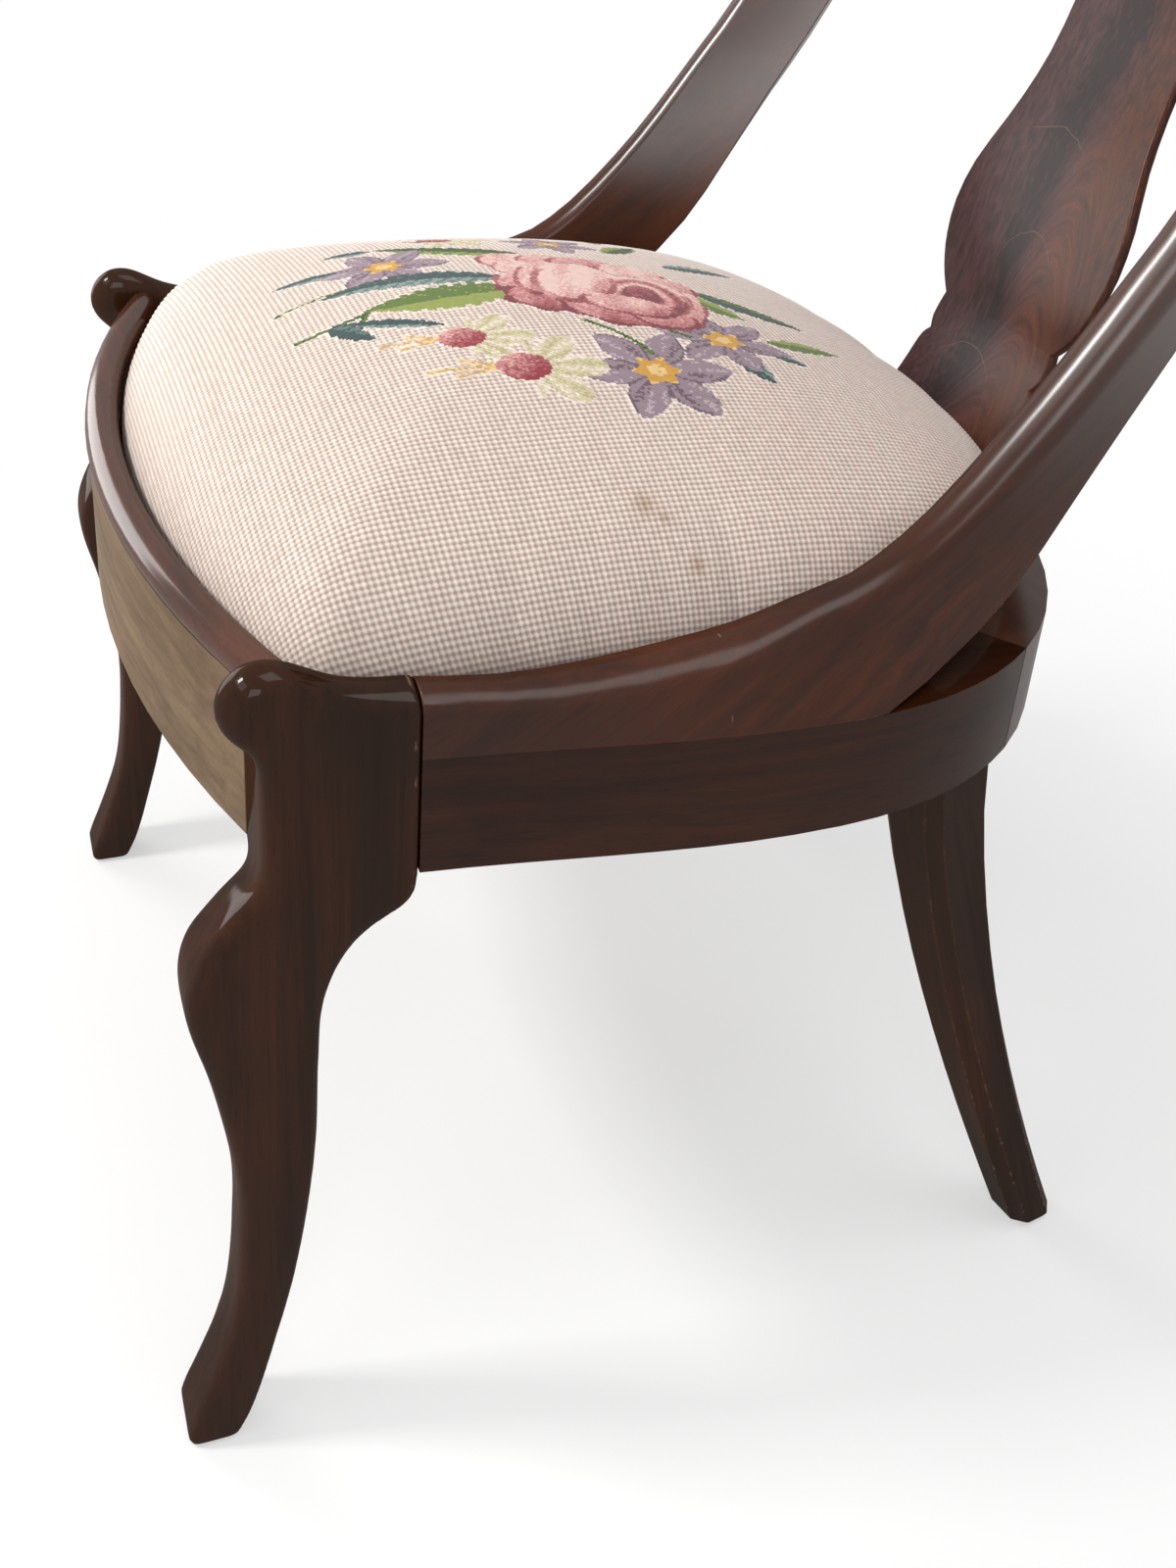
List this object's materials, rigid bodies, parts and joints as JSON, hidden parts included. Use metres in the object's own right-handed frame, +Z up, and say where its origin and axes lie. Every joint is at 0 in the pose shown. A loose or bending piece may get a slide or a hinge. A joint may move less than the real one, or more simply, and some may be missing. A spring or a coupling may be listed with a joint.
{
  "type": "side chair",
  "caption": "Side chair with stiles sweeping up from scrolled front legs, sabre rear legs, vase splat, curved crest rail and a lift-out needlework seat.",
  "frame": {"origin": "on the floor, under the middle of the chair's bounding box", "axes": "+Z up, -Y the way the sitter faces, +X to the sitter's left"},
  "size_m": [0.5004, 0.5856, 0.815],
  "materials": {
    "mahogany": "French polished",
    "figured_veneer": "French polished",
    "secondary_wood": "bare",
    "dowel_wood": "bare",
    "steel": "dull",
    "needlework": "wool tent stitch",
    "jute": "woven",
    "hair": "curled hair"
  },
  "bodies": {
    "chair_frame": {"crest_dowel_left_1": "dowel_wood", "crest_dowel_right_1": "dowel_wood", "crest_rail": "mahogany", "front_block_screw_left_1": "steel", "front_block_screw_left_2": "steel", "front_block_screw_right_1": "steel", "front_block_screw_right_2": "steel", "front_corner_block_left": "secondary_wood", "front_corner_block_right": "secondary_wood", "front_leg_left": "mahogany", "front_leg_right": "mahogany", "front_rail": "mahogany", "front_rail_dowel_left_1": "dowel_wood", "front_rail_dowel_left_2": "dowel_wood", "front_rail_dowel_right_1": "dowel_wood", "front_rail_dowel_right_2": "dowel_wood", "front_rail_moulding": "mahogany", "rear_block_screw_left_1": "steel", "rear_block_screw_left_2": "steel", "rear_block_screw_right_1": "steel", "rear_block_screw_right_2": "steel", "rear_corner_block_left": "secondary_wood", "rear_corner_block_right": "secondary_wood", "rear_leg_left": "mahogany", "rear_leg_right": "mahogany", "rear_rail": "mahogany", "rear_rail_dowel_left_1": "dowel_wood", "rear_rail_dowel_right_1": "dowel_wood", "side_rail_dowel_left_1": "dowel_wood", "side_rail_dowel_left_2": "dowel_wood", "side_rail_dowel_right_1": "dowel_wood", "side_rail_dowel_right_2": "dowel_wood", "side_rail_left": "mahogany", "side_rail_right": "mahogany", "splat": "figured_veneer", "stile_dowel_left_1": "dowel_wood", "stile_dowel_left_2": "dowel_wood", "stile_dowel_right_1": "dowel_wood", "stile_dowel_right_2": "dowel_wood", "stile_left": "mahogany", "stile_right": "mahogany"},
    "slip_seat": {"hessian": "jute", "needlework_cover": "needlework", "slip_board_front": "secondary_wood", "slip_board_left": "secondary_wood", "slip_board_rear": "secondary_wood", "slip_board_right": "secondary_wood", "stuffing": "hair", "webbing_crosswise_1": "jute", "webbing_crosswise_2": "jute", "webbing_crosswise_3": "jute", "webbing_lengthwise_1": "jute", "webbing_lengthwise_2": "jute", "webbing_lengthwise_3": "jute"}
  },
  "joints": [
    {"name": "seat_lift", "type": "slide", "parent": "chair_frame", "child": "slip_seat", "axis": [0, 0, 1], "range_m": [0, 0.12]}
  ]
}
